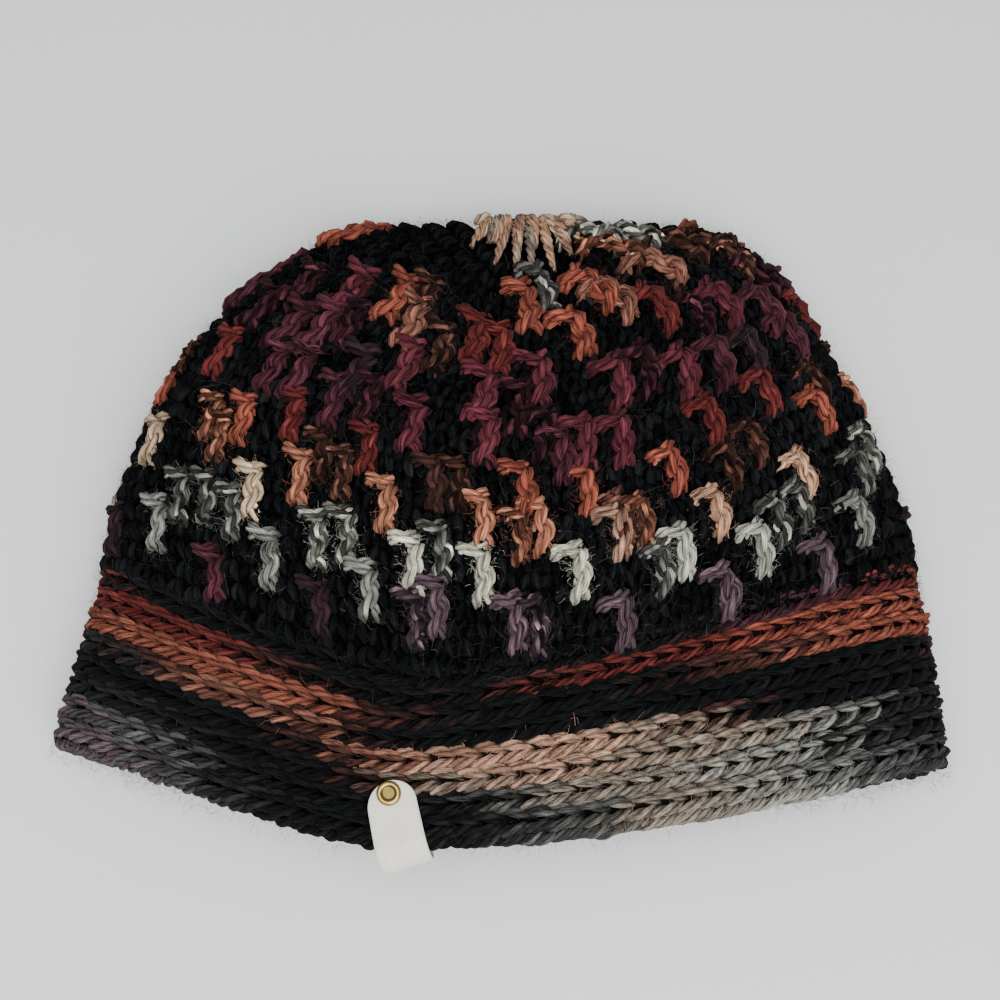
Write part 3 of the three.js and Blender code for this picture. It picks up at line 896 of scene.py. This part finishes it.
def brim_fuzz(material):
    """Loose fibres on the brim, a quarter of them along its edge, and none under the label."""
    count, at_edge = BRIM_FIBRES, BRIM_FIBRES // 4
    rise = RANDOM.uniform(-0.004, BRIM_TOP + 1.4 * ROW_STEP, count)
    rise[:at_edge] = RANDOM.uniform(-0.005, 0.004, at_edge)
    share = RANDOM.uniform(0, 1, count)
    on_label = (np.abs(share * RING - RING - LABEL["across"]) < LABEL["width"]) & (rise < 0.1)
    rise, share = rise[~on_label], share[~on_label]
    rows = brim_row(rise)
    shade = np.zeros((len(rise), 3))
    for number, runs in enumerate(BRIM_RUNS):
        shade[rows == number] = run_colours(runs, share[rows == number]) * 1.2
    return strand_object("brim_fuzz", [loose_fibres(rise, share, shade, 5.5, 0.55)], material)


def crown_fuzz(material):
    """Loose fibres all over the crown, more along its folds, and some round each overlaid stitch."""
    count = CROWN_FIBRES
    rise = RANDOM.uniform(BRIM_TOP, FUZZ_TOP, count)
    kept = RANDOM.uniform(0, LENGTHS.max(), count) < ring_length(rise)
    rise = rise[kept]
    share = RANDOM.uniform(0, 1, len(rise))
    grey = RANDOM.uniform(0, 1, (len(rise), 1)) < 0.1
    shade = np.where(grey, YARN["dark_grey"], YARN["charcoal"])
    batches = [loose_fibres(rise, share, shade, 9.0, 0.85)]
    count = FOLD_FIBRES
    rise = RANDOM.uniform(BRIM_TOP, FUZZ_TOP, count)
    fold = np.where(RANDOM.uniform(0, 1, count) < 0.5, 0.25, 0.75)
    share = fold + RANDOM.normal(0, 0.018, count)
    shade = np.tile(YARN["charcoal"], (count, 1))
    batches.append(loose_fibres(rise, share, shade, 8.0, 1.0))
    for colour, places in [*OVERLAY.items(), *MARLED.items()]:
        low = np.array([place for place in places if place[1] < FUZZY_BELOW], float)
        across, rise = np.repeat(low, STITCH_FIBRES, axis=0).T
        rise = rise + RANDOM.uniform(-0.033, 0.038, len(rise))
        back = np.where(np.arange(len(rise)) % 4 == 0, 0.5, 0.0)
        share = (across + RANDOM.normal(0, 1.5, len(rise))) / ring_length(rise) + back
        shade = np.tile(YARN[colour] * 0.75, (len(rise), 1))
        batches.append(loose_fibres(rise, share, shade, 3.6, 0.5))
    return strand_object("crown_fuzz", batches, material)


def label_seat():
    """Angle of the label's middle at the brim's edge, and the change of rise and angle for a millimetre."""
    brim = section_at(np.array(0.0))
    across = float((LABEL["across"] - brim["midX"]) / brim["half"])
    angle = math.acos(math.copysign(abs(across) ** (1 / FRONT_FULLNESS), across))
    step = 1e-3
    here = solid_point(0.0, angle, 0.0)
    rise = step / np.linalg.norm(solid_point(step, angle, 0.0) - here)
    turn = step / np.linalg.norm(solid_point(0.0, angle + step, 0.0) - here)
    return angle, rise, turn


def brim_point(right, up, depth):
    """A point beside the label's fold: to the right, up the brim, and below the outside of the fabric."""
    angle, rise, turn = label_seat()
    c, s = math.cos(LABEL["tilt"]), math.sin(LABEL["tilt"])
    return solid_point((up * c - right * s) * rise, angle - (right * c + up * s) * turn, depth)


def strip_place(distance, out):
    """Up and depth at a distance along the folded strip, from the front leaf's end to the one inside."""
    radius = TURN_RADIUS + out
    turned = np.clip((distance - LABEL["leaf"]) / TURN_RADIUS, 0, math.pi)
    after = np.maximum(distance - LABEL["leaf"] - math.pi * TURN_RADIUS, 0)
    up = np.maximum(LABEL["leaf"] - distance, 0) - radius * np.sin(turned) + after
    return up, WALL / 2 - radius * np.cos(turned)


def label_object(material):
    """The blank folded label: a strip with round ends and softly rounded edges."""
    end = LABEL["width"] / 2
    turn = np.linspace(0, 2 * np.pi, 40, endpoint=False)
    across = np.sign(np.cos(turn)) * np.abs(np.cos(turn)) ** 0.3
    out = np.sign(np.sin(turn)) * np.abs(np.sin(turn)) ** 0.55 * LABEL["thickness"] / 2
    curve = end * (1 - np.cos(np.linspace(0.1, np.pi / 2, 14)))
    middle = np.linspace(end, STRIP_LENGTH - end, 60)[1:-1]
    distance = np.concatenate([curve, middle, STRIP_LENGTH - curve[::-1]])[:, None]
    from_end = np.minimum(np.minimum(distance, STRIP_LENGTH - distance), end)
    half = np.sqrt(end**2 - (end - from_end) ** 2)
    up, depth = strip_place(distance, out[None, :])
    points = brim_point(half * across[None, :], up, depth)
    # the colour is darker towards the strip's two side edges
    edge_darkening = 1 - 0.12 * np.abs(across) ** 8
    colours = LABEL_COLOUR * np.broadcast_to(edge_darkening[None, :, None], points.shape)
    return grid_object("label_strip", points, colours, material)


def rivet_object(material):
    """The hollow brass rivet: a rolled head with a dished middle, its post, and the flat head inside."""
    head = brim_point(0.0, RIVET_UP, -LABEL["stand_off"] - LABEL["thickness"])
    step = 0.5
    across = brim_point(step, RIVET_UP, 0.0) - brim_point(-step, RIVET_UP, 0.0)
    along = brim_point(0.0, RIVET_UP + step, 0.0) - brim_point(0.0, RIVET_UP - step, 0.0)
    axis = unit(np.cross(across, along))
    side = unit(across - axis * across.dot(axis))
    ahead = np.cross(axis, side)
    turn = np.linspace(0, 2 * np.pi, 56, endpoint=False)[None, :, None]
    outline = np.array(RIVET_OUTLINE)[::-1]
    radius, height = np.maximum(outline[:, :1], 0.02)[..., None], outline[:, 1:][..., None]
    points = head + radius * (np.cos(turn) * side + np.sin(turn) * ahead) + height * axis
    grime = np.interp(outline[:, 0], GRIME_RADII, GRIME)
    colours = BRASS * np.broadcast_to(grime[:, None, None], points.shape)
    return grid_object("rivet_stud", points, colours, material)


def stage_and_light():
    floor_material, tree, surface = shader("table", Roughness=0.75)
    place = object_place(tree)
    noise = node(tree, "ShaderNodeTexNoise", {"Scale": 3.0, "Detail": 4.0}, in0=place)
    ramp = tree.nodes.new("ShaderNodeValToRGB")
    ramp.color_ramp.elements[0].color = (0.70, 0.71, 0.70, 1)
    ramp.color_ramp.elements[1].color = (0.76, 0.765, 0.755, 1)
    tree.links.new(noise.outputs[0], ramp.inputs[0])
    tree.links.new(ramp.outputs[0], surface.inputs["Base Color"])
    bpy.ops.mesh.primitive_plane_add(size=30.0, location=(0, 0, -0.0001))
    floor = bpy.context.object
    floor.name = "table_top"
    floor.data.materials.append(floor_material)
    world = bpy.data.worlds.new("studio")
    world.use_nodes = True
    world.node_tree.nodes["Background"].inputs[0].default_value = (0.93, 0.96, 1.0, 1)
    world.node_tree.nodes["Background"].inputs[1].default_value = 0.62
    bpy.context.scene.world = world
    for name, where, size, power in (
        ("overhead", (-0.15, -0.3, 0.95), 0.9, 9.0),
        ("front_fill", (0.3, -0.8, 0.8), 0.8, 14.0),
    ):
        lamp = bpy.data.lights.new(name, "AREA")
        lamp.size = size
        lamp.energy = power
        made = bpy.data.objects.new(name, lamp)
        made.location = where
        made.rotation_euler = (-Vector(where)).to_track_quat("-Z", "Y").to_euler()
        bpy.context.collection.objects.link(made)


def add_camera():
    lens = bpy.data.cameras.new("photo_camera")
    lens.lens = CAMERA["lens"]
    lens.sensor_width = 36.0
    lens.clip_start = 0.01
    tilt = math.radians(CAMERA["elevation"])
    forward = Vector((0, math.cos(tilt), -math.sin(tilt)))
    made = bpy.data.objects.new("photo_camera", lens)
    made.location = (Vector(CAMERA["look_at"]) - forward * CAMERA["distance"]) * MM
    made.rotation_euler = forward.to_track_quat("-Z", "Y").to_euler()
    bpy.context.collection.objects.link(made)
    bpy.context.scene.camera = made


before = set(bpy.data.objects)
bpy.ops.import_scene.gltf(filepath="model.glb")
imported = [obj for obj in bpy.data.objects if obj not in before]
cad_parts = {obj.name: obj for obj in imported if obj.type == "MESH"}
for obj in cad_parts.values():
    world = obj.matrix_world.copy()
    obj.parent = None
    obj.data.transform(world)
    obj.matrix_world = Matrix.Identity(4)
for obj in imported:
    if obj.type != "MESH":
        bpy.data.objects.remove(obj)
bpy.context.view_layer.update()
add_camera()
stage_and_light()
yarn = yarn_material("variegated_yarn")
black = yarn_material("black_yarn", sheen=0.0, gloss=0.01)
ground = ground_material("matted_ground")
loose = fibre_material("loose_fibres")

crown_pieces = [
    wall_object(ground),
    ground_stitches(black, True),
    ground_stitches(black, False),
    overlay_stitches(yarn, True),
    overlay_stitches(yarn, False),
    gathered_end(yarn),
    crown_fuzz(loose),
]
brim_pieces = [
    brim_braids(yarn, True),
    brim_braids(yarn, False),
    brim_edge(yarn),
    inside_rows(yarn),
    brim_fuzz(loose),
]
for piece in crown_pieces:
    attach(piece, "root")
    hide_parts("crown")
for piece in brim_pieces:
    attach(piece, "root")
    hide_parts("brim_band")

label = label_object(leatherette_material("pale_leatherette"))
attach(label, "root")
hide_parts("label_tab")
rivet = rivet_object(brass_material("worn_brass"))
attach(rivet, "root")
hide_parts("label_rivet")
